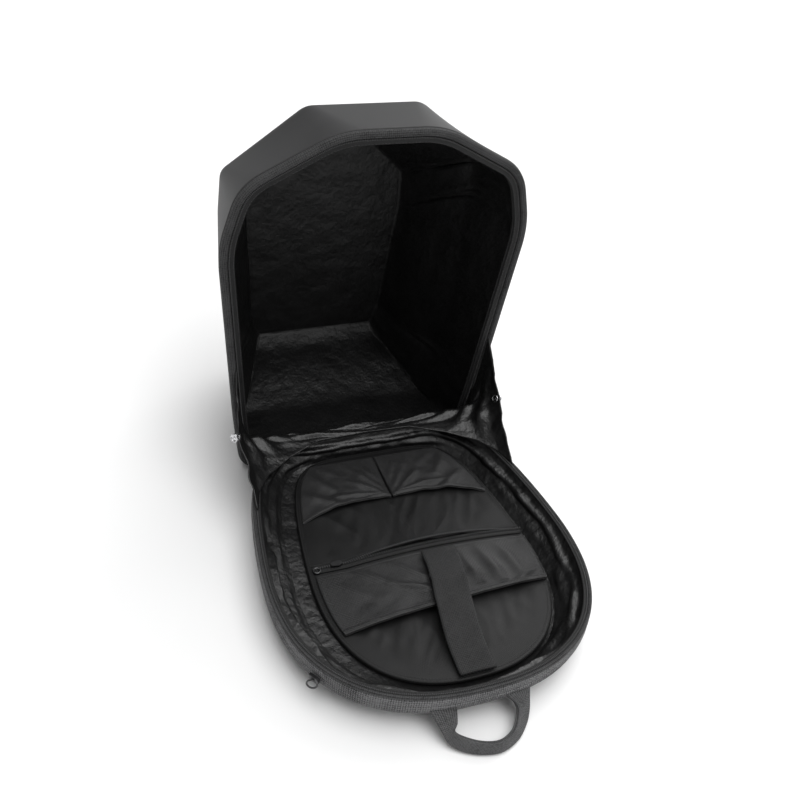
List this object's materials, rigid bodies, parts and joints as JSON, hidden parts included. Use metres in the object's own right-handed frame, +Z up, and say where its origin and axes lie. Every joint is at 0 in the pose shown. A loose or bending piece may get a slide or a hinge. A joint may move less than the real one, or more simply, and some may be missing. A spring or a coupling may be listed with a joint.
{
  "type": "opened hard-shell smart backpack",
  "caption": "Hard-shell backpack standing open: a hollow faceted front shell joined by cloth gussets to a flat lined tray with phone, zip and laptop pockets.",
  "frame": {"origin": "middle of the bounding box at the floor", "axes": "+Z up, +Y from the tray's handle towards the shell's front, +X to the right seen from the handle"},
  "size_m": [0.3366, 0.6052, 0.413],
  "materials": {
    "moulded_shell": "matte moulded black, fine grain",
    "woven_cloth": "coarse black weave",
    "smooth_tape": "smooth black tape",
    "satin_lining": "black satin nylon",
    "pocket_nylon": "matte black nylon",
    "strap_padding": "black padded mesh cloth",
    "webbing": "ribbed black webbing",
    "bright_metal": "polished",
    "dark_metal": "dark lacquered zinc",
    "buckle_plastic": "black acetal"
  },
  "bodies": {
    "root": {"shell": "moulded_shell", "shell_rim_binding": "woven_cloth", "tray_wall": "woven_cloth", "tray_rim_tape": "woven_cloth", "pocket_zip_near_tape": "woven_cloth", "pocket_zip_far_tape": "woven_cloth", "shell_zip_tape": "smooth_tape", "shell_lining": "satin_lining", "tray_lining": "satin_lining", "gusset": "satin_lining", "phone_pocket_left": "pocket_nylon", "phone_pocket_right": "pocket_nylon", "zip_pocket": "pocket_nylon", "laptop_sleeve": "pocket_nylon", "organizer_panel": "pocket_nylon", "strap_yoke": "strap_padding", "back_pad": "strap_padding", "shoulder_strap_left": "strap_padding", "shoulder_strap_right": "strap_padding", "sleeve_strap": "webbing", "handle": "webbing", "strap_webbing_left": "webbing", "strap_webbing_right": "webbing", "snap_left_outer": "bright_metal", "snap_left_inner": "bright_metal", "snap_right_outer": "bright_metal", "snap_right_inner": "bright_metal", "pocket_zip_slider": "dark_metal", "pocket_zip_end_ring": "dark_metal", "main_zip_slider": "dark_metal", "main_zip_pull": "dark_metal", "strap_buckle_left": "buckle_plastic", "strap_buckle_right": "buckle_plastic"}
  },
  "joints": []
}
